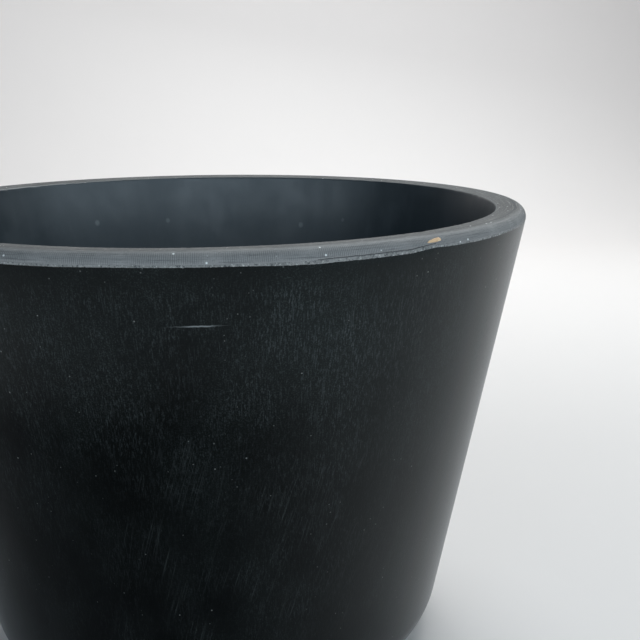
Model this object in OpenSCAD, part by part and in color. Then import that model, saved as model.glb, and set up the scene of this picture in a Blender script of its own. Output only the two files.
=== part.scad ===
// Round tapered plant pot with a lift-out drainage insert and a pull-out drain plug.
// Millimetres. +Z is up and is the pot's axis. The origin is on that axis at ground level.

/* [Pot shell] */
// Overall height, ground to the top of the rim
pot_height = 145; // [120:1:180]
// Largest radius, at the widest point of the rim
rim_radius = 100; // [80:1:120]
// Horizontal growth of the wall for each millimetre of height
wall_taper = 0.187; // [0.05:0.001:0.3]
// Horizontal thickness of the wall
wall_width = 9.4; // [6:0.1:14]
// Radius of the rounded outer edge of the rim
rim_round = 2.9; // [1:0.1:4]
// Slope of the rim's top face, rising outward, in degrees
rim_slope = 5.7; // [0:0.1:8]
// Size of the break on the rim's inner edge
rim_break = 0.3; // [0.1:0.1:0.6]
// Radius of the curve from the wall to the foot, outside
base_round = 20; // [10:1:30]
// Radius of the curve from the wall to the floor, inside
floor_round = 12; // [6:1:18]

/* [Foot and floor] */
// Thickness of the floor
floor_thick = 7; // [5:0.5:10]
// Depth of the recess under the floor
recess_depth = 5; // [4:0.5:8]
// Radius of the recess, inside the foot ring
recess_radius = 46; // [40:1:50]
// Number of drain channels across the foot ring
channel_count = 4; // [3:1:6]
// Width of each drain channel
channel_width = 8; // [4:0.5:12]
// Height of each drain channel
channel_height = 3; // [1:0.5:4]
// Radius of the drain hole in the floor
drain_radius = 10; // [6:0.5:14]
// Chamfer round the drain hole's upper edge
drain_chamfer = 0.8; // [0.4:0.1:1.5]

/* [Drainage insert] */
// Height of the plate's underside above the ground
plate_level = 30; // [26:1:40]
// Thickness of the plate
plate_thick = 2.5; // [2:0.1:4]
// Gap between the plate's edge and the pot wall
plate_gap = 0.7; // [0.4:0.1:2]
// Height of the bead round the plate's upper edge
bead_height = 1.2; // [0.8:0.1:2]
// Width of the bead
bead_width = 2.4; // [1.5:0.1:4]
// Radius of each drain hole through the plate
hole_radius = 2.5; // [1.5:0.1:4]
// Distance from the axis to the middle of each leg
leg_offset = 45; // [38:1:46]
// Outside radius of a leg at the plate
leg_top = 8.5; // [7:0.5:10]
// Outside radius of a leg at its foot
leg_foot = 7; // [5:0.5:9]
// Thickness of a leg's wall
leg_wall = 1.8; // [1.4:0.1:2.5]
// Thickness of the ribs under the plate
rib_width = 1.6; // [1.2:0.1:2.5]
// Depth of the ribs under the plate
rib_depth = 3; // [2:0.5:6]
// Length of the lifting handle
handle_length = 44; // [36:1:60]
// Height of the handle above the plate
handle_height = 22; // [18:1:30]
// Width of the handle
handle_width = 9; // [6:0.5:14]
// Thickness of the handle's bar and posts
handle_thick = 4.5; // [3.5:0.5:6]

/* [Drain plug] */
// Gap between the plug's sealing rings and the drain hole
plug_gap = 0.05; // [0.01:0.01:0.1]
// Depth of the grooves between the sealing rings
ring_depth = 0.8; // [0.4:0.1:1.5]
// Radius of the plug's flange
flange_radius = 15; // [13:0.5:20]
// Thickness of the flange and its pull tab
flange_thick = 2.5; // [2:0.1:3]
// Distance from the axis to the end of the pull tab
tab_reach = 29; // [24:1:36]
// Width of the pull tab
tab_width = 12; // [8:1:16]
// How much narrower the tab is at its neck, on each side
tab_neck = 1.5; // [0.5:0.1:2.5]
// How far the tab's faces lie inside the flange's
tab_inset = 0.3; // [0.2:0.1:0.6]

/* [Hidden] */
$fn = 96;
eps = 0.01;
// Stretch of a horizontal distance measured square to the sloping wall
slant = sqrt(1 + wall_taper * wall_taper);
wall_angle = atan(wall_taper);
floor_level = recess_depth + floor_thick;

// Centre of the rim's rounded edge, placed so that its rightmost point is rim_radius
edge_r = rim_radius - rim_round;
edge_z = pot_height - rim_round;
// The outer wall touches that circle
outer_foot = edge_r + rim_round * slant - wall_taper * edge_z;
inner_foot = outer_foot - wall_width;
function outer_wall(z) = outer_foot + wall_taper * z;
function inner_wall(z) = inner_foot + wall_taper * z;

// The rim's top face leaves the rounded edge and runs down to the inner wall
face_r = edge_r - rim_round * sin(rim_slope);
face_z = edge_z + rim_round * cos(rim_slope);
lip_z = (face_z - tan(rim_slope) * (face_r - inner_foot)) / (1 - tan(rim_slope) * wall_taper);
lip_r = inner_wall(lip_z);

// Centres of the curves at the foot and at the floor's edge
base_r = outer_wall(base_round) - base_round * slant;
corner_z = floor_level + floor_round;
corner_r = inner_wall(corner_z) - floor_round * slant;

leg_angles = [90, 210, 330];
rib_angles = [30, 150, 270];
ring_radii = [14, 26, 38, 50, 61];
plate_top = plate_level + plate_thick;
plate_radius = inner_wall(plate_level) - plate_gap;
tab_angle = 45;

pot_color = [0.09, 0.09, 0.10];
insert_color = [0.16, 0.17, 0.17];
plug_color = [0.10, 0.10, 0.10];

function arc(r, z, radius, from, to, steps) =
    [for (i = [0:steps]) let (a = from + (to - from) * i / steps) [r + radius * cos(a), z + radius * sin(a)]];

module half_profile() {
    polygon(concat(
        [[0, recess_depth]],
        [[recess_radius - 1, recess_depth]],
        [[recess_radius, recess_depth - 1]],
        [[recess_radius, 0]],
        arc(base_r, base_round, base_round, -90, -wall_angle, 14),
        arc(edge_r, edge_z, rim_round, -wall_angle, 90 + rim_slope, 10),
        [[lip_r + rim_break, lip_z + rim_break * tan(rim_slope)]],
        [[inner_wall(lip_z - rim_break), lip_z - rim_break]],
        arc(corner_r, corner_z, floor_round, -wall_angle, -90, 10),
        [[0, floor_level]]
    ));
}

module drain_channels() {
    for (i = [0:channel_count - 1]) {
        rotate([0, 0, 45 + i * 360 / channel_count])
            translate([recess_radius - 4, -channel_width / 2, -1])
                cube([30, channel_width, channel_height + 1]);
    }
}

module drain_bore() {
    translate([0, 0, -1])
        cylinder(r = drain_radius, h = floor_level + 2);
    translate([0, 0, floor_level - drain_chamfer])
        cylinder(r1 = drain_radius, r2 = drain_radius + drain_chamfer + eps, h = drain_chamfer + eps);
}

// Root: one thick wall and floor, open at the top
module pot_shell() {
    color(pot_color)
        difference() {
            rotate_extrude($fn = 180)
                half_profile();
            drain_channels();
            drain_bore();
        }
}

// A point on the plate is free when it is clear of every leg, every rib and the handle
function leg_clear(x, y) =
    min([for (a = leg_angles) norm([x - leg_offset * cos(a), y - leg_offset * sin(a)])])
        > leg_top + hole_radius + 1;
function rib_clear(x, y) =
    min([for (a = rib_angles) x * cos(a) + y * sin(a) < 0 ? 99 : abs(y * cos(a) - x * sin(a))])
        > rib_width / 2 + hole_radius + 1;
function handle_clear(x, y) =
    abs(y) > handle_width / 2 + hole_radius + 1 || abs(x) > handle_length / 2 + hole_radius + 1;
function hole_free(x, y) = leg_clear(x, y) && rib_clear(x, y) && handle_clear(x, y);

module plate_holes() {
    for (r = ring_radii) {
        count = 6 * round(r / 12);
        for (i = [0:count - 1]) {
            a = (i + 0.5) * 360 / count;
            if (hole_free(r * cos(a), r * sin(a))) {
                translate([r * cos(a), r * sin(a), plate_level - 1])
                    cylinder(r = hole_radius, h = plate_thick + 2, $fn = 24);
            }
        }
    }
}

module plate_blank() {
    bead_top = plate_top + bead_height;
    rotate_extrude($fn = 144)
        polygon([
            [0, plate_level],
            [plate_radius, plate_level],
            [inner_wall(bead_top) - plate_gap, bead_top],
            [inner_wall(bead_top) - plate_gap - bead_width / 2, bead_top],
            [inner_wall(plate_top) - plate_gap - bead_width, plate_top],
            [0, plate_top]
        ]);
}

module at_legs() {
    for (a = leg_angles) {
        rotate([0, 0, a])
            translate([leg_offset, 0, 0])
                children();
    }
}

module leg_outside() {
    translate([0, 0, floor_level])
        cylinder(r1 = leg_foot, r2 = leg_top, h = plate_level - floor_level + 1);
}

// Each leg is open below, like any thick moulding that has been cored out
module leg_core() {
    translate([0, 0, floor_level - 1])
        cylinder(r1 = leg_foot - leg_wall, r2 = leg_top - leg_wall, h = plate_level - floor_level + 1);
}

module plate_ribs() {
    for (a = rib_angles) {
        rotate([0, 0, a])
            translate([4, -rib_width / 2, plate_level - rib_depth])
                cube([plate_radius - 10, rib_width, rib_depth + 1]);
    }
}

// Side view of the handle: two posts that lean in, and a bar across them
module handle_outline() {
    half = handle_length / 2;
    lean = 3;
    top = plate_top + handle_height;
    difference() {
        polygon([
            [-half, plate_top - 1],
            [half, plate_top - 1],
            [half, plate_top],
            [half - lean, top - 2],
            [half - lean - 2, top],
            [-half + lean + 2, top],
            [-half + lean, top - 2],
            [-half, plate_top]
        ]);
        polygon([
            [-half + handle_thick, plate_top - 2],
            [half - handle_thick, plate_top - 2],
            [half - handle_thick, plate_top],
            [half - handle_thick - lean, top - handle_thick - 2],
            [half - handle_thick - lean - 2, top - handle_thick],
            [-half + handle_thick + lean + 2, top - handle_thick],
            [-half + handle_thick + lean, top - handle_thick - 2],
            [-half + handle_thick, plate_top]
        ]);
    }
}

module handle() {
    rotate([90, 0, 0])
        translate([0, 0, -handle_width / 2])
            linear_extrude(handle_width)
                handle_outline();
}

// Raised false bottom, moulded in one piece with its legs and lifting handle
module drainage_insert() {
    color(insert_color)
        difference() {
            union() {
                plate_blank();
                plate_ribs();
                handle();
                at_legs()
                    leg_outside();
            }
            at_legs()
                leg_core();
            plate_holes();
        }
}

module plug_profile() {
    seal_r = drain_radius - plug_gap;
    groove_r = seal_r - ring_depth;
    bottom = recess_depth - flange_thick;
    polygon([
        [0, bottom],
        [flange_radius - 0.6, bottom],
        [flange_radius, bottom + 0.6],
        [flange_radius, recess_depth],
        [groove_r, recess_depth],
        [groove_r, recess_depth + 1.4],
        [seal_r, recess_depth + 2],
        [seal_r, recess_depth + 2.8],
        [groove_r, recess_depth + 3.4],
        [groove_r, recess_depth + 4.2],
        [seal_r, recess_depth + 4.8],
        [seal_r, recess_depth + 5.6],
        [groove_r, recess_depth + 6.2],
        [groove_r - 1.2, floor_level + 0.6],
        [0, floor_level + 0.6]
    ]);
}

module pull_tab() {
    bottom = recess_depth - flange_thick + tab_inset;
    thick = flange_thick - 2 * tab_inset;
    end_x = tab_reach - tab_width / 2;
    rotate([0, 0, tab_angle])
        difference() {
            union() {
                translate([0, -tab_width / 2 + tab_neck, bottom])
                    cube([end_x, tab_width - 2 * tab_neck, thick]);
                translate([end_x, 0, bottom])
                    cylinder(r = tab_width / 2, h = thick);
            }
            for (i = [-1:1]) {
                translate([end_x + i * 3 - 0.7, -tab_width / 3, bottom - 1])
                    cube([1.4, tab_width / 1.5, 1.6]);
            }
        }
}

// Rubber bung with two sealing rings, a flange under the floor and a tab to pull it by
module drain_plug() {
    color(plug_color)
        union() {
            rotate_extrude()
                plug_profile();
            pull_tab();
        }
}

pot_shell();
drainage_insert();
drain_plug();
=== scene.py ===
"""Looks of the round composite plant pot: shell, drainage insert, drain plug and the wood chip in the rim."""

import math

import bpy
import numpy as np
from mathutils import Matrix, Vector


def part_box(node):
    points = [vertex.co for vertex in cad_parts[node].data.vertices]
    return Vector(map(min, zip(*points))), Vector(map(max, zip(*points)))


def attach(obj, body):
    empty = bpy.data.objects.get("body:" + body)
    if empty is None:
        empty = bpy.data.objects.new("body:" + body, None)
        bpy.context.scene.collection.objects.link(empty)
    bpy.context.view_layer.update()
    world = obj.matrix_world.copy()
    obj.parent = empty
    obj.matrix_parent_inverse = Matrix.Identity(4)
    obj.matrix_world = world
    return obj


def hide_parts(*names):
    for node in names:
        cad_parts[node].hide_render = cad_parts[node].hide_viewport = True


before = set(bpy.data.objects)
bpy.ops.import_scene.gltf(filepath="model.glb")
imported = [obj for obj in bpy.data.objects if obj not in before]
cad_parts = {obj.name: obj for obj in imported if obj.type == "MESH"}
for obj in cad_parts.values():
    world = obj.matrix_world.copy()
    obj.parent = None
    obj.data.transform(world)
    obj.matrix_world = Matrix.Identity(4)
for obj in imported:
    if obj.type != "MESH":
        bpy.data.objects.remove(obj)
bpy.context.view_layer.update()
POT_LOW, POT_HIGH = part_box("pot_shell")

# Sizes of the shell, in metres, as the CAD has them. The rest is worked out from them.
HEIGHT = POT_HIGH.z - POT_LOW.z
RIM_RADIUS = 0.100
WALL_TAPER = 0.187
WALL_WIDTH = 0.0094
RIM_ROUND = 0.0029
RIM_SLOPE = math.radians(5.7)
RIM_BREAK = 0.0003
BASE_ROUND = 0.020
FLOOR_ROUND = 0.012
FLOOR_THICK = 0.007
RECESS_DEPTH = 0.005
RECESS_RADIUS = 0.046
CHANNEL_COUNT = 4
CHANNEL_WIDTH = 0.008
CHANNEL_HEIGHT = 0.003
DRAIN_RADIUS = 0.010
DRAIN_CHAMFER = 0.0008

SLANT = math.hypot(1.0, WALL_TAPER)
WALL_ANGLE = math.atan(WALL_TAPER)
FLOOR_LEVEL = RECESS_DEPTH + FLOOR_THICK
EDGE_R = RIM_RADIUS - RIM_ROUND
EDGE_Z = HEIGHT - RIM_ROUND
OUTER_FOOT = EDGE_R + RIM_ROUND * SLANT - WALL_TAPER * EDGE_Z
INNER_FOOT = OUTER_FOOT - WALL_WIDTH
FACE_R = EDGE_R - RIM_ROUND * math.sin(RIM_SLOPE)
FACE_Z = EDGE_Z + RIM_ROUND * math.cos(RIM_SLOPE)
LIP_Z = (FACE_Z - math.tan(RIM_SLOPE) * (FACE_R - INNER_FOOT)) / (1 - math.tan(RIM_SLOPE) * WALL_TAPER)
LIP_R = INNER_FOOT + WALL_TAPER * LIP_Z
BASE_R = OUTER_FOOT + WALL_TAPER * BASE_ROUND - BASE_ROUND * SLANT
CORNER_Z = FLOOR_LEVEL + FLOOR_ROUND
CORNER_R = INNER_FOOT + WALL_TAPER * CORNER_Z - FLOOR_ROUND * SLANT

# The rounded edge, measured along its curve from the flat top to the outer wall, and how far inside the
# CAD's edge it is drawn, which leaves room for the burr
ARC_LENGTH = RIM_ROUND * (math.pi / 2 + RIM_SLOPE + WALL_ANGLE)
RIM_INSET = 0.00005

# Points round the pot: the rim needs more than the walls
WALL_STEPS = 400
RIM_SPLIT = 5
RIM_STEPS = WALL_STEPS * RIM_SPLIT

# How far below the lip, and below the end of the rounded edge, the plain walls begin
PLAIN_WALL_GAP = 0.0040

# The shell's material slots
OUTER, RIM, INNER, UNDER, TORN = range(5)

# The wood chip in the rounded edge: its place round the pot and up from level, its size, how far its right
# end lies above its middle, how much its face is crowned, and how far it stands out and is then sunk
CHIP_TURN = math.radians(-58.4)
CHIP_LEAN = math.radians(33.0)
CHIP_LENGTH = 0.0049
CHIP_WIDTH = 0.00108
CHIP_THICK = 0.0004
CHIP_RISE = 0.00022
CHIP_CROWN = 0.00004
CHIP_PROUD = 0.00003
CHIP_SUNK = 0.00002

MM = 0.001


# ---------------------------------------------------------------- camera, floor and light

def make_camera():
    """The camera looks down over the near side of the rim, turned a little to the right."""
    distance, rise = 0.2761, 0.0306
    yaw, pitch, roll = math.radians(-7.46), math.radians(-14.43), math.radians(0.19)
    data = bpy.data.cameras.new("camera")
    data.lens = 47.42
    data.sensor_width = 36.0
    data.clip_start = 0.005
    camera = bpy.data.objects.new("camera", data)
    bpy.context.scene.collection.objects.link(camera)
    turn = Matrix.Rotation(yaw, 4, "Z") @ Matrix.Rotation(pitch, 4, "X") @ Matrix.Rotation(roll, 4, "Y")
    upright = Matrix.Rotation(math.radians(90), 4, "X")
    camera.matrix_world = Matrix.Translation((0, -distance, LIP_Z + rise)) @ turn @ upright
    bpy.context.scene.camera = camera


def make_stage():
    """A pale floor, round in front, that curves up into a pale backdrop."""
    reach, back, bend, height, steps = 1.0, 1.2, 0.5, 1.6, 24
    rows = []
    for i in range(1, steps + 1):
        a = math.radians(90) * i / steps
        rows.append((reach * math.sin(a), -reach * math.cos(a), 0.0))
    rows.append((reach, back - bend, 0.0))
    for i in range(1, steps + 1):
        a = math.radians(90) * i / steps
        rows.append((reach, back - bend + bend * math.sin(a), bend - bend * math.cos(a)))
    rows.append((reach, back, height))
    vertices = []
    for width, y, z in rows:
        vertices += [(-width, y, z), (width, y, z)]
    faces = [(i, i + 1, i + 3, i + 2) for i in range(0, len(vertices) - 2, 2)]
    mesh = bpy.data.meshes.new("floor")
    mesh.from_pydata(vertices, [], faces)
    mesh.polygons.foreach_set("use_smooth", [True] * len(faces))
    floor = bpy.data.objects.new("floor", mesh)
    bpy.context.scene.collection.objects.link(floor)
    graph = Graph("pale_floor")
    graph.shader(base_color=(0.83, 0.785, 0.765), roughness=0.9)
    mesh.materials.append(graph.material)


def make_light(name, place, target, size, power, colour):
    """One soft rectangular light at place, facing target."""
    data = bpy.data.lights.new(name, "AREA")
    data.shape = "RECTANGLE"
    data.size, data.size_y = size
    data.energy = power
    data.color = colour
    light = bpy.data.objects.new(name, data)
    bpy.context.scene.collection.objects.link(light)
    light.location = place
    light.rotation_euler = (Vector(target) - Vector(place)).to_track_quat("-Z", "Y").to_euler()


def make_surround():
    """A faint light from all round, which looks pale where the camera sees past the floor."""
    world = bpy.data.worlds.new("surround")
    world.use_nodes = True
    tree = world.node_tree
    faint = tree.nodes["Background"]
    faint.inputs["Color"].default_value = (0.80, 0.92, 1.0, 1.0)
    faint.inputs["Strength"].default_value = 0.04
    pale = tree.nodes.new("ShaderNodeBackground")
    pale.inputs["Color"].default_value = (0.74, 0.77, 0.79, 1.0)
    rays = tree.nodes.new("ShaderNodeLightPath")
    either = tree.nodes.new("ShaderNodeMixShader")
    tree.links.new(rays.outputs["Is Camera Ray"], either.inputs[0])
    tree.links.new(faint.outputs[0], either.inputs[1])
    tree.links.new(pale.outputs[0], either.inputs[2])
    tree.links.new(either.outputs[0], tree.nodes["World Output"].inputs["Surface"])
    return world


def make_lighting():
    """The main lights are high behind the pot, to the right; weaker, bluer ones are low in front. One more
    strip shines on the backdrop alone."""
    scene = bpy.context.scene
    scene.view_settings.view_transform = "Standard"
    scene.world = make_surround()
    middle, distance, tall = Vector((0, 0, 0.1)), 1.05, 0.6
    pale, blue, white = (0.93, 0.985, 1.0), (0.70, 0.87, 1.0), (1, 1, 1)
    # Each light's name, azimuth and elevation in degrees, power in watts, width in metres, and colour
    lights = (("high_back", 60, 60, 6.0, 0.6, pale), ("side_back", 30, 45, 2.6, 0.6, pale),
              ("low_back", 80, 35, 1.6, 0.6, pale), ("front", -78, 17, 2.5, 0.9, blue),
              ("front_left", -112, 13, 1.5, 0.8, blue), ("front_right", -30, 11, 2.5, 0.8, blue),
              ("far_left", -145, 14, 1.6, 0.8, blue))
    for name, azimuth, elevation, power, width, colour in lights:
        turn, lift = math.radians(azimuth), math.radians(elevation)
        level = math.cos(lift)
        towards = Vector((math.cos(turn) * level, math.sin(turn) * level, math.sin(lift)))
        make_light(name, middle + distance * towards, middle, (width, tall), power, colour)
    strip_place, strip_target, strip_size = (0.25, 0.35, 1.15), (0.25, 1.2, 0.98), (3.0, 0.3)
    make_light("backdrop_strip", strip_place, strip_target, strip_size, 11.0, white)


# ---------------------------------------------------------------- node graphs

class Graph:
    """A material's node tree, with a short call for each kind of node used here."""

    def __init__(self, name):
        self.material = bpy.data.materials.new(name)
        self.material.use_nodes = True
        self.tree = self.material.node_tree
        self.tree.nodes.clear()

    def link(self, value, socket):
        """Joins an output to a socket, or sets the socket to a plain value."""
        if isinstance(value, bpy.types.NodeSocket):
            self.tree.links.new(value, socket)
        else:
            socket.default_value = value

    def add(self, kind, **settings):
        node = self.tree.nodes.new(kind)
        for name, value in settings.items():
            setattr(node, name, value)
        return node

    def place(self):
        """A point on the surface, in metres, in the part's frame."""
        return self.add("ShaderNodeTexCoord").outputs["Object"]

    def split(self, vector):
        node = self.add("ShaderNodeSeparateXYZ")
        self.link(vector, node.inputs[0])
        return node.outputs[0], node.outputs[1], node.outputs[2]

    def join(self, x, y, z):
        node = self.add("ShaderNodeCombineXYZ")
        for value, socket in zip((x, y, z), node.inputs):
            self.link(value, socket)
        return node.outputs[0]

    def math(self, operation, *values, clamp=False):
        node = self.add("ShaderNodeMath", operation=operation, use_clamp=clamp)
        for value, socket in zip(values, node.inputs):
            self.link(value, socket)
        return node.outputs[0]

    def product(self, first, *others):
        """All the values multiplied together, from left to right."""
        for other in others:
            first = self.math("MULTIPLY", first, other)
        return first

    def band(self, value, low, high, to_low=0.0, to_high=1.0, smooth=True):
        """Maps low..high to to_low..to_high, and holds the ends."""
        node = self.add("ShaderNodeMapRange", interpolation_type="SMOOTHSTEP" if smooth else "LINEAR")
        for item, socket in zip((value, low, high, to_low, to_high), node.inputs):
            self.link(item, socket)
        return node.outputs[0]

    def noise(self, vector, scale, detail=3.0, rough=0.5):
        node = self.add("ShaderNodeTexNoise")
        self.link(vector, node.inputs["Vector"])
        node.inputs["Scale"].default_value = scale
        node.inputs["Detail"].default_value = detail
        node.inputs["Roughness"].default_value = rough
        return node.outputs["Fac"]

    def cells(self, vector, scale, output="Distance"):
        node = self.add("ShaderNodeTexVoronoi")
        self.link(vector, node.inputs["Vector"])
        node.inputs["Scale"].default_value = scale
        return node.outputs[output]

    def mix(self, share, first, second):
        """A colour between first and second."""
        node = self.add("ShaderNodeMix", data_type="RGBA")
        self.link(share, node.inputs["Factor"])
        self.link(first if isinstance(first, bpy.types.NodeSocket) else (*first, 1.0), node.inputs[6])
        self.link(second if isinstance(second, bpy.types.NodeSocket) else (*second, 1.0), node.inputs[7])
        return node.outputs[2]

    def bump(self, height, distance, strength=1.0, normal=None):
        node = self.add("ShaderNodeBump")
        self.link(height, node.inputs["Height"])
        node.inputs["Distance"].default_value = distance
        node.inputs["Strength"].default_value = strength
        if normal is not None:
            self.link(normal, node.inputs["Normal"])
        return node.outputs[0]

    def shader(self, base_color, roughness, normal=None, specular=0.5, sheen=0.0, tint=None):
        node = self.add("ShaderNodeBsdfPrincipled")
        colour = base_color if isinstance(base_color, bpy.types.NodeSocket) else (*base_color, 1.0)
        self.link(colour, node.inputs["Base Color"])
        self.link(roughness, node.inputs["Roughness"])
        self.link(specular, node.inputs["Specular IOR Level"])
        node.inputs["Sheen Weight"].default_value = sheen
        node.inputs["Sheen Roughness"].default_value = 0.35
        if tint is not None:
            self.link(tint, node.inputs["Specular Tint"])
        if normal is not None:
            self.link(normal, node.inputs["Normal"])
        output = self.add("ShaderNodeOutputMaterial")
        self.link(node.outputs[0], output.inputs[0])
        return self.material


class RoundGraph(Graph):
    """A graph for a body of revolution: knows the height, the radius and the way round."""

    def __init__(self, name):
        super().__init__(name)
        self.x, self.y, self.z = self.split(self.place())
        squares = self.math("ADD", self.product(self.x, self.x), self.product(self.y, self.y))
        self.r = self.math("SQRT", squares)
        self.cos = self.math("DIVIDE", self.x, self.r)
        self.sin = self.math("DIVIDE", self.y, self.r)
        self.turn = self.math("ARCTAN2", self.y, self.x)

    def turn_from(self, degrees):
        """How far round the pot the point is from an azimuth, in radians, either way."""
        return self.math("ABSOLUTE", self.math("SUBTRACT", self.turn, math.radians(degrees)))

    def around(self, across, along):
        """A point that keeps its grain the same all round: across stretches it round the pot, along up it.
        One unit round the pot is one metre at the rim, and there is no seam."""
        return self.join(self.product(self.cos, across * RIM_RADIUS),
                         self.product(self.sin, across * RIM_RADIUS),
                         self.product(self.z, along))


# ---------------------------------------------------------------- materials

def slanted(g, lean, across, along):
    """A point for strokes that lean to the right going up, by lean radians of turn for each metre."""
    turn = g.math("SUBTRACT", g.turn, g.product(g.z, lean))
    return g.join(g.product(g.math("COSINE", turn), across * RIM_RADIUS),
                  g.product(g.math("SINE", turn), across * RIM_RADIUS),
                  g.product(g.z, along))


def outer_wall_material():
    """Black composite, sanded up and down: fine upright combing, slanting strokes lower down, dust specks
    and one short level scratch. It is plainer and darker just under the rim. Painted shade darkens the
    lower wall, and a painted reflection is weakest low down at the front and bluer high up."""
    g = RoundGraph("sanded_wall")
    patches = g.noise(g.around(70, 55), 1.0, 3.0, 0.6)
    cloud = g.noise(g.around(34, 26), 1.0, 4.0, 0.6)
    grain = g.noise(g.place(), 2900.0, 2.0, 0.6)
    comb = g.noise(g.around(2900, 560), 1.0, 2.0, 0.6)
    streak = upright_streaks(g, comb, grain, patches)
    stroke = slanting_strokes(g, patches)
    # Painted shade: the pale mottle fades lower down, which darkens the lower wall.
    painted_low_shade = g.band(g.z, 0.075, 0.125, 0.35, 1.0)
    mottle = g.product(g.band(grain, 0.50, 0.68), g.band(cloud, 0.42, 0.62, 0.25, 1.0), painted_low_shade)

    colour = g.mix(g.band(cloud, 0.32, 0.70), (0.0016, 0.0021, 0.0022), (0.0052, 0.0066, 0.0064))
    colour = g.mix(g.product(mottle, 0.55), colour, (0.036, 0.043, 0.042))
    colour = g.mix(g.product(streak, 0.70), colour, (0.054, 0.062, 0.063))
    colour = g.mix(g.product(stroke, 0.55), colour, (0.050, 0.056, 0.056))
    colour = g.mix(dust_specks(g), colour, (0.26, 0.26, 0.25))
    colour = g.mix(g.product(level_scratch(g), 0.7), colour, (0.28, 0.29, 0.29))

    rough = g.band(g.math("ADD", streak, g.product(mottle, 0.5)), 0.0, 1.0, 0.33, 0.50)
    height = g.math("ADD", g.product(comb, 0.7), g.product(grain, 0.3))
    normal = g.bump(height, 0.00004, 0.5)
    # Painted reflection: the wall reflects least low down at the front, as painted shade, and the reflection
    # is tinted bluer where it is strongest, high up.
    specular, reflection_share = painted_wall_reflection(g)
    tint = g.mix(reflection_share, (1.0, 0.99, 0.96), (0.86, 0.99, 1.0))
    return g.shader(colour, rough, normal, specular=specular, sheen=0.25, tint=tint)


def upright_streaks(g, comb, grain, patches):
    """Short and long upright streaks, in patches: clearest a little right of the front, faint just under
    the rim, and faded low down as painted shade."""
    long_comb = g.noise(g.around(2300, 150), 1.0, 2.0, 0.55)
    fading_up = g.band(g.z, 0.1345, 0.1400, 1.0, 0.15)
    # Painted shade: the streaks fade lower down, which darkens the lower wall.
    painted_low_shade = g.band(g.z, 0.070, 0.125, 0.34, 1.0)
    near_front = g.band(g.turn_from(-77), 0.06, 0.26, 1.35, 0.85)
    in_patches = g.band(patches, 0.36, 0.62, 0.25, 1.0)
    short = g.product(g.band(comb, 0.50, 0.66), g.band(grain, 0.36, 0.60, 0.25, 1.0))
    streak = g.math("MAXIMUM", short, g.product(g.band(long_comb, 0.58, 0.72), 0.6))
    return g.product(streak, in_patches, fading_up, painted_low_shade, near_front)


def slanting_strokes(g, patches):
    """Slanting strokes on the lower wall, clearest near the front."""
    dash = g.noise(g.around(3000, 1500), 1.0, 2.0, 0.6)
    strokes = g.noise(slanted(g, 3.3, 2100, 50), 1.0, 2.0, 0.55)
    long_strokes = g.noise(slanted(g, 2.4, 1250, 32), 1.0, 2.0, 0.5)
    low_down = g.band(g.z, 0.118, 0.085)
    near_front = g.band(g.turn_from(-84), 0.12, 0.45, 1.0, 0.3)
    broken_up = g.band(dash, 0.3, 0.55, 0.4, 1.0)
    in_patches = g.band(patches, 0.45, 0.62, 0.1, 1.0)
    stroke = g.math("MAXIMUM", g.band(strokes, 0.58, 0.70), g.product(g.band(long_strokes, 0.62, 0.72), 0.7))
    return g.product(stroke, low_down, broken_up, near_front, in_patches)


def painted_wall_reflection(g):
    """How strongly the wall reflects, which is least low down at the front, and the same as a share from
    0 to 1. The weak reflection low at the front is painted shade."""
    shaded_left, shaded_right, spread = math.radians(-145), math.radians(-94), math.radians(34)
    low_down, high_up = 0.098, 0.128
    away = g.math("MAXIMUM", g.math("SUBTRACT", g.turn, shaded_right), g.math("SUBTRACT", shaded_left, g.turn))
    side = g.band(away, 0.0, spread)
    low = g.band(side, 0.0, 1.0, 0.020, 0.19, smooth=False)
    high = g.band(side, 0.0, 1.0, 0.16, 0.235, smooth=False)
    specular = g.band(g.z, low_down, high_up, low, high)
    return specular, g.band(specular, 0.05, 0.20, smooth=False)


def spots(g, places, ragged):
    """Round spots on a wall. Each place is an azimuth in degrees, then a height, a radius and a strength,
    with the lengths in millimetres. Ragged is a noise that breaks up their edges."""
    found = 0.0
    for azimuth, level, radius, strength in places:
        across = g.product(g.math("SUBTRACT", g.turn, math.radians(azimuth)), RIM_RADIUS / MM)
        up = g.math("SUBTRACT", g.product(g.z, 1 / MM), level)
        away = g.math("SQRT", g.math("ADD", g.product(across, across), g.product(up, up)))
        away = g.math("ADD", away, g.product(ragged, 0.35 * radius))
        found = g.math("MAXIMUM", found, g.band(away, 0.55 * radius, 1.2 * radius, strength, 0.0))
    return found


def dust_specks(g):
    """Specks of pale dust: the clearest ones in their own places, the rest in loose groups, with more of
    them close under the rim."""
    clear = ((-122.5, 91, 0.24, 0.9), (-78, 115, 0.22, 0.9), (-113, 130, 0.22, 0.9),
             (-119.5, 93, 0.20, 0.6), (-110, 115.5, 0.26, 0.5), (-76, 98, 0.20, 0.6),
             (-82, 82.5, 0.20, 0.5), (-98.5, 140.6, 0.24, 0.4))
    ragged = g.noise(g.around(3000, 3000), 1.0, 1.0)
    near_rim = g.band(g.z, 0.1330, 0.1385, 0.0, 0.10)
    group = g.math("ADD", g.noise(g.around(85, 85), 1.0, 2.0), near_rim)
    small = g.product(g.band(g.cells(g.around(420, 420), 1.0), 0.085, 0.035), g.band(group, 0.53, 0.60))
    large = g.product(g.band(g.cells(g.around(150, 150), 1.0), 0.040, 0.022), g.band(group, 0.47, 0.52))
    scattered = g.math("MAXIMUM", g.product(small, 0.50), g.product(large, 0.6))
    return g.math("MAXIMUM", scattered, spots(g, clear, ragged))


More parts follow.
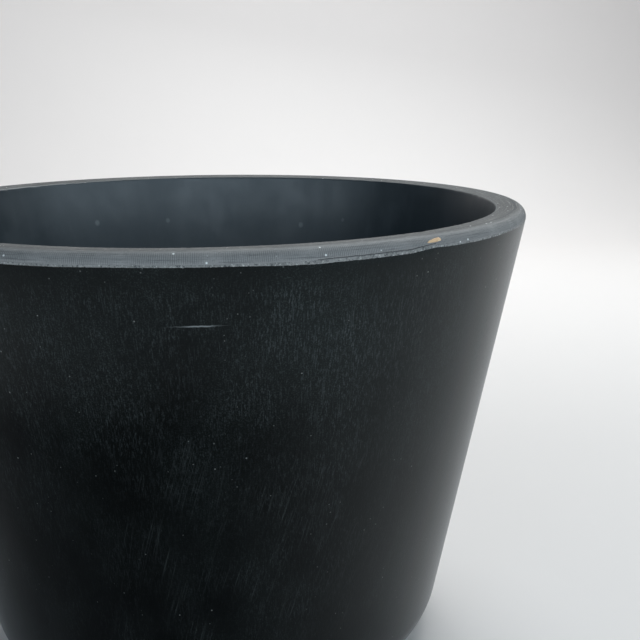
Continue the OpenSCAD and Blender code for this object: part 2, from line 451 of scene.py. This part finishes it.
def level_scratch(g):
    """1 on the short level scratch on the near side of the wall, under half a millimetre wide and strongest
    in its middle."""
    middle, reach, level, half = math.radians(-92.0), math.radians(4.9), 0.12815, 0.00018
    along = g.math("DIVIDE", g.math("SUBTRACT", g.turn, middle), reach)
    waver = g.product(g.math("SUBTRACT", g.noise(g.around(500, 20), 1.0, 2.0), 0.5), 0.0005)
    off = g.math("ABSOLUTE", g.math("SUBTRACT", g.math("ADD", g.z, waver), level))
    taper = g.band(g.math("ABSOLUTE", along), 0.25, 1.0, 1.0, 0.0)
    width = g.product(g.math("ADD", taper, 0.25), half)
    across = g.band(g.math("DIVIDE", off, width), 0.5, 1.0, 1.0, 0.0)
    strong = g.band(g.math("ABSOLUTE", g.math("SUBTRACT", along, 0.06)), 0.15, 0.50, 1.0, 0.35)
    return g.product(across, g.math("POWER", taper, 0.8), strong)


def chatter_marks(g):
    """Fine marks across the rounded edge, half a millimetre apart, that come and go round the pot."""
    marks_per_radian, wander = 1370.0, 16.0
    drift = g.noise(g.around(60, 60), 1.0, 3.0)
    phase = g.math("ADD", g.product(g.turn, marks_per_radian), g.product(drift, wander))
    wave = g.product(g.math("ADD", g.math("SINE", phase), 1.0), 0.5)
    patch = g.band(g.noise(g.around(110, 60), 1.0, 3.0, 0.6), 0.32, 0.52)
    below_face = g.band(g.z, EDGE_Z + 0.0027, EDGE_Z + 0.0022)
    above_lip = g.band(g.z, EDGE_Z - 0.0001, EDGE_Z + 0.0006)
    return g.product(wave, patch, below_face, above_lip)


def ringed(g, down, across, along):
    """A point for rings round the rim: fine across them, down over the edge, and long round the pot."""
    return g.join(g.product(down, across), g.product(g.cos, along), g.product(g.sin, along))


def rim_material():
    """The cut edge: grey, with painted shade on its flat top, painted light on the rounded edge and a
    painted highlight along the inner edge, with rings left by the tool, a thin dark line where the top
    ends, fine cross marks below it and crumbs of dust."""
    g = RoundGraph("machined_rim")
    down = g.math("SUBTRACT", g.r, g.z)
    rings = g.noise(ringed(g, down, 4200.0, 7.0), 1.0, 2.0, 0.6)
    smear = g.noise(ringed(g, down, 2600.0, 55.0), 1.0, 3.0, 0.6)
    chatter = chatter_marks(g)
    grain = g.noise(g.place(), 3300.0, 3.0, 0.65)
    cloud = g.noise(g.around(30, 60), 1.0, 3.0, 0.6)
    face_end = FACE_R - FACE_Z
    turned_over = (face_end + 0.0002, face_end + 0.0024)
    off_line = g.math("ABSOLUTE", g.math("SUBTRACT", down, face_end - 0.0001))
    dark_line = g.product(g.band(off_line, 0.00012, 0.00034, 1.0, 0.0), g.band(smear, 0.35, 0.6, 0.35, 1.0))
    # Painted highlight: a paler line along the inner edge of the lip.
    painted_lip_highlight = g.band(g.r, LIP_R + 0.00050, LIP_R + 0.00025)
    crumbs = g.product(g.band(g.cells(g.place(), 330.0), 0.105, 0.055),
                       g.band(g.noise(g.around(120, 120), 1.0, 2.0), 0.39, 0.47))

    # Painted light and shade: the same cut material is given a darker grey on the flat top and a much paler
    # grey on the rounded edge, standing in for the light falling on each.
    top = g.mix(g.band(cloud, 0.3, 0.7), (0.108, 0.109, 0.109), (0.140, 0.141, 0.140))
    rounded = g.mix(g.band(cloud, 0.3, 0.7), (0.255, 0.250, 0.246), (0.318, 0.311, 0.304))
    colour = g.mix(g.band(down, *turned_over), top, rounded)
    colour = g.mix(g.band(rings, 0.53, 0.68, 0.0, 0.55), colour, (0.36, 0.35, 0.34))
    colour = g.mix(g.band(rings, 0.46, 0.33, 0.0, 0.65), colour, (0.095, 0.098, 0.100))
    colour = g.mix(g.band(smear, 0.56, 0.70, 0.0, 0.45), colour, (0.38, 0.37, 0.355))
    colour = g.mix(g.band(smear, 0.42, 0.30, 0.0, 0.40), colour, (0.12, 0.122, 0.123))
    colour = g.mix(g.product(chatter, 0.60), colour, (0.110, 0.112, 0.114))
    colour = g.mix(g.product(dark_line, 0.6), colour, (0.070, 0.080, 0.090))
    colour = g.mix(g.band(grain, 0.58, 0.74, 0.0, 0.45), colour, (0.42, 0.435, 0.44))
    colour = g.mix(g.band(grain, 0.42, 0.27, 0.0, 0.6), colour, (0.09, 0.10, 0.11))
    colour = g.mix(g.product(painted_lip_highlight, 0.6), colour, (0.23, 0.24, 0.245))
    colour = g.mix(crumbs, colour, (0.85, 0.85, 0.83))

    height = g.math("ADD", g.product(rings, 0.4),
                    g.math("SUBTRACT", g.product(grain, 0.3), g.product(chatter, 0.5)))
    normal = g.bump(height, 0.00005, 0.6)
    rough = g.band(rings, 0.3, 0.7, 0.46, 0.60)
    specular = g.band(down, *turned_over, 0.03, 0.14)
    return g.shader(colour, rough, normal, specular=specular)


def burr_material():
    """The torn lower edge of the cut: pale, crumbly, with dark gaps."""
    g = RoundGraph("torn_edge")
    torn = g.noise(g.around(1900, 1500), 1.0, 3.0, 0.65)
    patch = g.noise(g.around(170, 170), 1.0, 3.0, 0.6)
    colour = g.mix(g.band(patch, 0.35, 0.65), (0.195, 0.195, 0.19), (0.30, 0.298, 0.29))
    colour = g.mix(g.band(torn, 0.56, 0.68, 0.0, 0.8), colour, (0.62, 0.61, 0.59))
    colour = g.mix(g.band(torn, 0.45, 0.35, 0.0, 0.9), colour, (0.045, 0.052, 0.058))
    normal = g.bump(torn, 0.00012, 0.7)
    rough = g.band(torn, 0.3, 0.7, 0.45, 0.65)
    return g.shader(colour, rough, normal, specular=0.2)


def inner_wall_material():
    """The moulded inside: smooth blue-grey black with soft clouds, faint level lines and pale dried drops."""
    g = RoundGraph("moulded_inside")
    upright = g.noise(g.around(130, 30), 1.0, 4.0, 0.6)
    cloud = g.noise(g.around(60, 75), 1.0, 3.0, 0.6)
    level = g.noise(g.around(14, 2600), 1.0, 2.0, 0.6)
    grain = g.noise(g.place(), 2500.0, 3.0, 0.6)
    colour = g.mix(g.band(cloud, 0.3, 0.7), (0.024, 0.034, 0.042), (0.040, 0.052, 0.062))
    colour = g.mix(g.band(upright, 0.5, 0.75, 0.0, 0.4), colour, (0.060, 0.074, 0.084))
    colour = g.mix(g.product(dried_drops(g), 0.5), colour, (0.24, 0.26, 0.26))
    colour = g.mix(g.band(grain, 0.58, 0.80, 0.0, 0.35), colour, (0.08, 0.095, 0.10))
    normal = g.bump(g.math("ADD", grain, g.product(level, 0.5)), 0.00003, 0.4)
    rough = g.band(g.math("ADD", cloud, g.product(upright, 0.5)), 0.5, 1.0, 0.33, 0.47)
    # Painted reflection and shade: the inside reflects more strongly near the top than lower down, where the
    # near wall shades it.
    specular = g.band(g.z, 0.119, 0.142, 0.50, 1.0)
    return g.shader(colour, rough, normal, specular=specular)


def dried_drops(g):
    """1 on dried drops of water: a few in known places on the far wall, others scattered."""
    clear = ((121, 128, 1.5, 1.0), (101.5, 127, 1.3, 0.8), (64, 125, 1.5, 0.9), (51.5, 128, 1.0, 0.5))
    ragged = g.noise(g.around(1100, 1100), 1.0, 2.0)
    spread = g.math("ADD", g.cells(g.around(38, 38), 1.0), g.product(ragged, 0.02))
    group = g.noise(g.around(25, 25), 1.0, 1.0)
    scattered = g.product(g.band(spread, 0.058, 0.030), g.band(group, 0.46, 0.54))
    return g.math("MAXIMUM", scattered, spots(g, clear, ragged))


def underside_material():
    """The foot and the recess: moulded black, worn paler where the foot ring rubs on the ground."""
    g = RoundGraph("moulded_underside")
    cloud = g.noise(g.around(40, 40), 1.0, 4.0, 0.6)
    grain = g.noise(g.place(), 2600.0, 3.0, 0.65)
    scuffs = g.noise(g.join(g.product(g.x, 900.0), g.product(g.y, 60.0), 0.0), 1.0, 4.0, 0.7)
    colour = g.mix(g.band(cloud, 0.3, 0.7), (0.012, 0.013, 0.014), (0.022, 0.023, 0.024))
    rubbed = g.product(g.band(g.z, 0.0012, 0.0002), g.band(scuffs, 0.42, 0.62))
    colour = g.mix(g.product(rubbed, 0.6), colour, (0.085, 0.083, 0.078))
    normal = g.bump(grain, 0.00008, 0.5)
    rough = g.band(cloud, 0.3, 0.7, 0.5, 0.68)
    return g.shader(colour, rough, normal, specular=0.45)


def fleck_material():
    """Tan wood chip, with fine fibres along it and paler blotches."""
    g = Graph("wood_fleck")
    along = CHIP_TURN + math.pi / 2
    x, y, z = g.split(g.place())
    run = g.math("ADD", g.product(x, math.cos(along)), g.product(y, math.sin(along)))
    fibre = g.noise(g.join(g.product(run, 700.0), g.product(z, 9000.0), 0.0), 1.0, 4.0, 0.6)
    blotch = g.noise(g.place(), 900.0, 2.0)
    colour = g.mix(g.band(fibre, 0.3, 0.7), (0.70, 0.44, 0.24), (0.96, 0.65, 0.40))
    colour = g.mix(g.band(blotch, 0.5, 0.7, 0.0, 0.6), colour, (0.92, 0.74, 0.50))
    normal = g.bump(fibre, 0.00006, 0.6)
    rough = g.band(blotch, 0.3, 0.7, 0.6, 0.8)
    return g.shader(colour, rough, normal, specular=0.3)


def insert_material():
    """Grey-black moulded plastic with a fine eroded grain, paler along rubbed edges."""
    g = Graph("insert_plastic")
    place = g.place()
    grain = g.noise(place, 2400.0, 3.0, 0.6)
    cloud = g.noise(place, 45.0, 3.0, 0.6)
    rub = g.noise(place, 260.0, 4.0, 0.7)
    colour = g.mix(g.band(cloud, 0.3, 0.7), (0.055, 0.060, 0.060), (0.085, 0.090, 0.090))
    colour = g.mix(g.band(rub, 0.58, 0.76, 0.0, 0.35), colour, (0.15, 0.155, 0.15))
    normal = g.bump(grain, 0.00010, 0.5)
    rough = g.band(rub, 0.3, 0.7, 0.42, 0.58)
    return g.shader(colour, rough, normal, specular=0.5)


def plug_material():
    """Soft black rubber with a bloom on it."""
    g = Graph("plug_rubber")
    place = g.place()
    grain = g.noise(place, 3000.0, 3.0, 0.6)
    bloom = g.noise(place, 190.0, 4.0, 0.65)
    colour = g.mix(g.band(bloom, 0.4, 0.72), (0.020, 0.020, 0.021), (0.055, 0.055, 0.054))
    normal = g.bump(grain, 0.00006, 0.5)
    rough = g.band(bloom, 0.3, 0.7, 0.62, 0.82)
    return g.shader(colour, rough, normal, specular=0.35)


# ---------------------------------------------------------------- the shell

def smooth_noise(count, period, seed):
    """count values round a closed ring, made of random waves about period steps long, from -1 to 1."""
    random = np.random.default_rng(seed)
    turns = np.arange(count) * 2 * np.pi / count
    top = max(2, int(count / period))
    value = np.zeros(count)
    for k in range(max(1, top // 4), top + 1):
        value += random.normal() * np.cos(k * turns + random.uniform(0, 2 * np.pi))
    return value / np.abs(value).max()


def arc(r, z, radius, start, end, steps):
    """Points on an arc in the half profile, both ends included. Angles are in radians."""
    return [(r + radius * math.cos(start + (end - start) * i / steps),
             z + radius * math.sin(start + (end - start) * i / steps)) for i in range(steps + 1)]


def line(start, end, steps):
    """Points from start to end, leaving start out."""
    return [(start[0] + (end[0] - start[0]) * i / steps,
             start[1] + (end[1] - start[1]) * i / steps) for i in range(1, steps + 1)]


def outer_wall(z):
    return OUTER_FOOT + WALL_TAPER * z


def inner_wall(z):
    return INNER_FOOT + WALL_TAPER * z


def rim_path(down, offset):
    """Radius and height at a distance down the rounded edge and on down the wall, moved out by offset."""
    angle = math.pi / 2 + RIM_SLOPE - np.minimum(down, ARC_LENGTH) / RIM_ROUND
    below = np.maximum(down - ARC_LENGTH, 0)
    r = EDGE_R + (RIM_ROUND + offset) * np.cos(angle) - below * math.sin(WALL_ANGLE)
    z = EDGE_Z + (RIM_ROUND + offset) * np.sin(angle) - below * math.cos(WALL_ANGLE)
    return r, z


def ring_points(r, z):
    """One ring of points from arrays of radii and heights."""
    turns = np.arange(len(r)) * 2 * np.pi / len(r)
    return np.stack([r * np.cos(turns), r * np.sin(turns), z], axis=1)


def between(value, low, high, soft):
    """1 between low and high, falling to 0 over soft on each side."""
    return np.clip((value - low) / soft + 1, 0, 1) * np.clip((high - value) / soft + 1, 0, 1)


def cut_edge_drop(azimuth):
    """How far below its true place the lower edge of the cut lies, in metres: low where a burr hangs over
    the wall, high where the cut stops short beside the chip. Each place is an azimuth in degrees and a drop
    in millimetres."""
    places = ((-110, 0.02), (-103, -0.15), (-95, -0.07), (-86, 0.02), (-81.5, 0.26), (-77.7, 0.42),
              (-73.7, 0.30), (-68, 0.20), (-62.5, 0.14), (-61.0, -0.16), (-58.2, -0.48), (-55.7, -0.25),
              (-50, -0.12), (-46, -0.06), (-36, -0.12), (-28, 0.0))
    turns, drops = zip(*places)
    return np.interp(azimuth, turns, drops, left=0.0, right=0.0) * MM


def small_nicks(count):
    """Shallow dents spread round the inner edge, 1 at the middle of the deepest."""
    random = np.random.default_rng(7)
    depth = np.zeros(RIM_STEPS)
    for _ in range(count):
        middle, width = random.uniform(0, RIM_STEPS), random.uniform(1.6, 7.0)
        away = np.abs((np.arange(RIM_STEPS) - middle + RIM_STEPS / 2) % RIM_STEPS - RIM_STEPS / 2)
        depth = np.maximum(depth, random.uniform(0.3, 1.0) * np.clip(1 - (away / width) ** 2, 0, 1))
    return depth


def rim_ring(r, z):
    """One of the rim's rings. The radius and the height may be plain numbers or change round the ring."""
    return ring_points(r + np.zeros(RIM_STEPS), z + np.zeros(RIM_STEPS))


def lip_rings(nick):
    """The top of the inner wall, up to the broken inner edge."""
    start, next_up, top = LIP_Z - 0.0012, LIP_Z - 0.0007, LIP_Z - RIM_BREAK
    return [rim_ring(inner_wall(start), start), rim_ring(inner_wall(next_up), next_up),
            rim_ring(inner_wall(top) + 0.00004 * nick, top - 0.00012 * nick)]


def face_rings(nick, drift):
    """The flat top, with the shallow steps left by the tool. Each step is a share of the way out and how
    many hundredths of a millimetre the face is sunk there."""
    steps = ((0.12, 1), (0.28, 3), (0.42, 1), (0.56, 4), (0.70, 2), (0.84, 3), (0.92, 2), (0.96, 9), (1.0, 4))
    start_r = LIP_R + RIM_BREAK
    start_z = LIP_Z + RIM_BREAK * math.tan(RIM_SLOPE)
    rings = [rim_ring(LIP_R + RIM_BREAK * 0.25 + 0.00008 * nick, LIP_Z - RIM_BREAK * 0.25 - 0.00012 * nick),
             rim_ring(start_r + 0.00008 * nick, start_z - 0.00008 * nick)]
    for share, sink in steps:
        r = start_r + share * (FACE_R - start_r)
        z = start_z + share * (FACE_Z - start_z)
        rings.append(rim_ring(r, z - 0.00001 * sink + 0.00001 * drift))
    return rings


def rounded_rings(edge, fold):
    """The rounded edge, from the flat top to the torn part. Edge is the distance down to the lower edge of
    the cut. The last two rings sink into the fold."""
    rings = [rim_ring(*rim_path(share * edge, -RIM_INSET)) for share in (0.10, 0.22, 0.36, 0.50, 0.64)]
    for before, sink in ((1.22, 0.0), (1.02, 0.10), (0.90, 0.14)):
        rings.append(rim_ring(*rim_path(edge - before * MM, -RIM_INSET - sink * MM * fold)))
    return rings


def torn_rings(edge, ragged, crumbly, burr):
    """The torn lower edge of the cut, which stands out and crumbles where there is a burr."""
    proudest = 0.045
    rings = []
    for before, size in ((0.62, 0.5), (0.42, 1.0), (0.20, 1.0), (0.0, 0.7)):
        proud = 0.02 * burr + 0.05 * size * burr * crumbly - 0.02 * size * (1 - burr) * np.abs(crumbly)
        down = edge - before * MM * (0.75 + 0.5 * burr + 0.25 * ragged)
        rings.append(rim_ring(*rim_path(down, MM * np.minimum(proud, proudest) - RIM_INSET)))
    return rings


def wall_rings(edge, burr):
    """The top of the outer wall, tucked in under the burr."""
    return [rim_ring(*rim_path(edge + after * MM, -tuck * MM * (0.35 + 0.65 * burr)))
            for after, tuck in ((0.07, 0.16), (0.28, 0.14), (0.8, 0.05), (1.6, 0.0))]


def worn_rim():
    """Rings over the rim from the inner wall to just below its lower edge, with its tool steps, nicks, the
    fold and the ragged burr, and each ring's material slot."""
    azimuth = (np.arange(RIM_STEPS) * 360.0 / RIM_STEPS + 180.0) % 360.0 - 180.0
    ragged = 0.5 * smooth_noise(RIM_STEPS, 12, 11) + 0.5 * smooth_noise(RIM_STEPS, 3, 12)
    crumbly = smooth_noise(RIM_STEPS, 2.5, 15)
    drift = smooth_noise(RIM_STEPS, 220, 13)
    burr = np.clip(0.30 + 0.4 * smooth_noise(RIM_STEPS, 150, 14), 0, 0.6)
    full_burr = between(azimuth, -82.0, -59.5, 2.0)
    clean_cut = between(azimuth, -58.5, -32.0, 1.0)
    burr = np.maximum(burr, full_burr) * (1 - clean_cut)
    fold = between(azimuth, -75.0, -60.0, 4.0)
    nick = small_nicks(46)
    edge = ARC_LENGTH + cut_edge_drop(azimuth) + MM * (0.06 + 0.10 * burr) * ragged

    inside = lip_rings(nick)
    cut = face_rings(nick, drift) + rounded_rings(edge, fold)
    torn = torn_rings(edge, ragged, crumbly, burr)
    wall = wall_rings(edge, burr)
    # A ring's slot goes to the faces below it, so the last torn ring already starts the wall
    slots = [INNER] * len(inside) + [RIM] * len(cut) + [TORN] * (len(torn) - 1) + [OUTER] * (len(wall) + 1)
    # Painted shade: where the fold is deep, the faces in its groove take the dark wall material to darken the
    # crease.
    shaded_fold = fold * (0.55 + 0.45 * ragged) > 0.35
    slots[len(inside) + len(cut) - 2] = np.where(shaded_fold, OUTER, RIM)
    return inside + cut + torn + wall, slots


class Lathe:
    """Gathers rings of points into one closed skin, joining rings of different counts."""

    def __init__(self):
        self.points, self.faces, self.slots, self.rings, self.count = [], [], [], [], 0

    def ring(self, points):
        self.points.append(points)
        self.rings.append((self.count, len(points)))
        self.count += len(points)

    def join(self, a, b, slot):
        """Faces between rings a and b, which have the same count or one RIM_SPLIT times the other. The slot
        may differ from face to face round the ring."""
        (start_a, n_a), (start_b, n_b) = self.rings[a], self.rings[b]
        if n_a == n_b:
            for i in range(n_a):
                j = (i + 1) % n_a
                self.faces.append((start_a + i, start_a + j, start_b + j, start_b + i))
                self.slots.append(slot if isinstance(slot, int) else int(slot[i]))
            return
        coarse_first = n_a < n_b
        coarse, fine, n, m = (start_a, start_b, n_a, n_b) if coarse_first else (start_b, start_a, n_b, n_a)
        half = RIM_SPLIT // 2 + 1
        for i in range(n):
            c0, c1 = coarse + i, coarse + (i + 1) % n
            f = [fine + (i * RIM_SPLIT + k) % m for k in range(RIM_SPLIT + 1)]
            fans = [(c0, f[k + 1], f[k]) for k in range(half)] + [(c0, c1, f[half])]
            fans += [(c1, f[k + 1], f[k]) for k in range(half, RIM_SPLIT)]
            for face in fans:
                self.faces.append(face if coarse_first else face[::-1])
                self.slots.append(slot)

    def mesh(self, name, materials):
        mesh = bpy.data.meshes.new(name)
        mesh.from_pydata(np.concatenate(self.points).tolist(), [], self.faces)
        for material in materials:
            mesh.materials.append(material)
        mesh.polygons.foreach_set("material_index", self.slots)
        mesh.polygons.foreach_set("use_smooth", [True] * len(self.faces))
        mesh.update()
        return mesh


def plain_ring(point):
    r, z = point
    return ring_points(np.full(WALL_STEPS, r), np.full(WALL_STEPS, z))


def inner_profile():
    """The inside, from the drain hole up to just under the rim."""
    hole_edge = 0.0003
    bore_top = (DRAIN_RADIUS, FLOOR_LEVEL - DRAIN_CHAMFER)
    floor_start = (DRAIN_RADIUS + DRAIN_CHAMFER, FLOOR_LEVEL)
    corner_end = CORNER_Z - FLOOR_ROUND * math.sin(WALL_ANGLE)
    top = LIP_Z - PLAIN_WALL_GAP
    points = [(DRAIN_RADIUS, RECESS_DEPTH + hole_edge)]
    points += line((DRAIN_RADIUS, RECESS_DEPTH), bore_top, 3)
    points += [floor_start] + line(floor_start, (CORNER_R, FLOOR_LEVEL), 6)
    points += arc(CORNER_R, CORNER_Z, FLOOR_ROUND, -math.pi / 2, -WALL_ANGLE, 9)[1:]
    return points + line((inner_wall(corner_end), corner_end), (inner_wall(top), top), 8)


def outer_profile():
    """The outside, from just under the rim down round the base to the ground."""
    wall_top = EDGE_Z - RIM_ROUND * math.sin(WALL_ANGLE) - PLAIN_WALL_GAP
    wall_end = BASE_ROUND - BASE_ROUND * math.sin(WALL_ANGLE)
    wall = [(outer_wall(z), z) for z in np.linspace(wall_top, wall_end, 12)]
    return wall + arc(BASE_R, BASE_ROUND, BASE_ROUND, -WALL_ANGLE, -math.pi / 2, 16)[1:]


def under_profile():
    """The foot ring and the recess, in to the drain hole."""
    foot_edge, hole_edge, corner, corner_middle = 0.0004, 0.0003, 0.001, 0.0003
    recess_start = (RECESS_RADIUS - corner, RECESS_DEPTH)
    points = line((BASE_R, 0.0), (RECESS_RADIUS + foot_edge, 0.0), 4)
    points += [(RECESS_RADIUS, foot_edge), (RECESS_RADIUS, RECESS_DEPTH - corner),
               (RECESS_RADIUS - corner_middle, RECESS_DEPTH - corner_middle), recess_start]
    return points + line(recess_start, (DRAIN_RADIUS + hole_edge, RECESS_DEPTH), 8)


def build_shell():
    """The whole shell as one closed skin, with the drain channels cut through its foot."""
    lathe = Lathe()
    slots = []

    def add(profile, slot):
        for point in profile:
            lathe.ring(plain_ring(point))
            slots.append(slot)

    add(inner_profile(), INNER)
    rim_rings, rim_slots = worn_rim()
    for points in rim_rings:
        lathe.ring(points)
    slots += rim_slots
    add(outer_profile(), OUTER)
    add(under_profile(), UNDER)
    for i, slot in enumerate(slots):
        lathe.join(i, (i + 1) % len(slots), slot)
    materials = [outer_wall_material(), rim_material(), inner_wall_material(), underside_material(),
                 burr_material()]
    shell = bpy.data.objects.new("pot_body", lathe.mesh("pot_body", materials))
    bpy.context.scene.collection.objects.link(shell)
    cut_channels(shell)
    shell.data.set_sharp_from_angle(angle=math.radians(40))
    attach(shell, "pot")
    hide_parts("pot_shell")


def cut_channels(shell):
    """Cuts the drain channels across the foot ring."""
    inner_end, outer_end, half, below = RECESS_RADIUS - 0.004, RECESS_RADIUS + 0.030, CHANNEL_WIDTH / 2, 0.002
    corners = ((-half, -below), (half, -below), (half, CHANNEL_HEIGHT), (-half, CHANNEL_HEIGHT))
    box_faces = ((3, 2, 1, 0), (4, 5, 6, 7), (0, 1, 5, 4), (1, 2, 6, 5), (2, 3, 7, 6), (3, 0, 4, 7))
    vertices, faces = [], []
    for i in range(CHANNEL_COUNT):
        a = math.radians(45 + 360 * i / CHANNEL_COUNT)
        cos, sin = math.cos(a), math.sin(a)
        faces += [tuple(len(vertices) + k for k in face) for face in box_faces]
        for r in (inner_end, outer_end):
            vertices += [(r * cos - side * sin, r * sin + side * cos, z) for side, z in corners]
    mesh = bpy.data.meshes.new("cutter")
    mesh.from_pydata(vertices, [], faces)
    cutter = bpy.data.objects.new("cutter", mesh)
    bpy.context.scene.collection.objects.link(cutter)
    for material in shell.data.materials:
        mesh.materials.append(material)
    mesh.polygons.foreach_set("material_index", [UNDER] * len(faces))
    cut = shell.modifiers.new("channels", "BOOLEAN")
    cut.operation, cut.object, cut.solver = "DIFFERENCE", cutter, "EXACT"
    graph = bpy.context.evaluated_depsgraph_get()
    made = bpy.data.meshes.new_from_object(shell.evaluated_get(graph))
    shell.modifiers.clear()
    shell.data = made
    made.name = "pot_body"
    bpy.data.objects.remove(cutter)


# ---------------------------------------------------------------- the wood chip

def chip_point(s, t, end, layer):
    """A point on the chip's skin. s runs along the chip and t across it, both from -1 to 1; end shortens the
    chip there, and layer is how far out the point lies. The outer face is a little crowned."""
    bluntness = 16 if s > 0 else 5
    wide = (1 - abs(s) ** bluntness) ** 0.5 * (0.78 + 0.20 * s + 0.05 * math.sin(5 * s + 1))
    turn = CHIP_TURN + s * end * CHIP_LENGTH / 2 / RIM_RADIUS
    tilt = CHIP_LEAN + (t * max(wide, 0.15) * CHIP_WIDTH / 2 + s * CHIP_RISE) / RIM_ROUND
    crown = layer + CHIP_CROWN - CHIP_CROWN * (t * t + s ** 4) if layer > 0 else layer
    r = EDGE_R + (RIM_ROUND + crown - CHIP_SUNK) * math.cos(tilt)
    z = EDGE_Z + (RIM_ROUND + crown - CHIP_SUNK) * math.sin(tilt)
    return r * math.cos(turn), r * math.sin(turn), z


def build_fleck():
    """A flat chip of wood lying in the rim's rounded edge, its face almost flush with the cut."""
    across, steps = 8, 28
    random = np.random.default_rng(5)
    ends = random.uniform(0.80, 1.0, (2, across + 1))
    points = []
    for layer in (CHIP_PROUD, -CHIP_THICK):
        for i in range(steps + 1):
            s = 2 * i / steps - 1
            for j in range(across + 1):
                points.append(chip_point(s, 2 * j / across - 1, ends[0 if s < 0 else 1][j], layer))
    side = across + 1
    back = (steps + 1) * side
    faces = []
    for i in range(steps):
        for j in range(across):
            a, b = i * side + j, (i + 1) * side + j
            faces.append((a, b, b + 1, a + 1))
            faces.append((back + a + 1, back + b + 1, back + b, back + a))
    edge = [i * side for i in range(steps + 1)] + [steps * side + j for j in range(1, side)]
    edge += [i * side + across for i in range(steps - 1, -1, -1)] + list(range(across - 1, 0, -1))
    for k, a in enumerate(edge):
        b = edge[(k + 1) % len(edge)]
        faces.append((b, a, back + a, back + b))
    mesh = bpy.data.meshes.new("wood_fleck")
    mesh.from_pydata(points, [], faces)
    mesh.materials.append(fleck_material())
    mesh.polygons.foreach_set("use_smooth", [True] * len(faces))
    fleck = bpy.data.objects.new("wood_fleck", mesh)
    bpy.context.scene.collection.objects.link(fleck)
    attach(fleck, "pot")


# ---------------------------------------------------------------- the loose pieces

def dress_node(name, material, bevel):
    """Keeps a CAD node's shape, softens its edges and gives it its material."""
    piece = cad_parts[name]
    piece.data.materials.clear()
    piece.data.materials.append(material)
    weld = piece.modifiers.new("weld", "WELD")
    weld.merge_threshold = 0.00001
    edge = piece.modifiers.new("edges", "BEVEL")
    edge.width = bevel
    edge.segments = 2
    edge.limit_method = "ANGLE"
    edge.angle_limit = math.radians(38)
    edge.harden_normals = True


make_camera()
make_stage()
make_lighting()
build_shell()
build_fleck()
dress_node("drainage_insert", insert_material(), 0.0003)
dress_node("drain_plug", plug_material(), 0.0003)
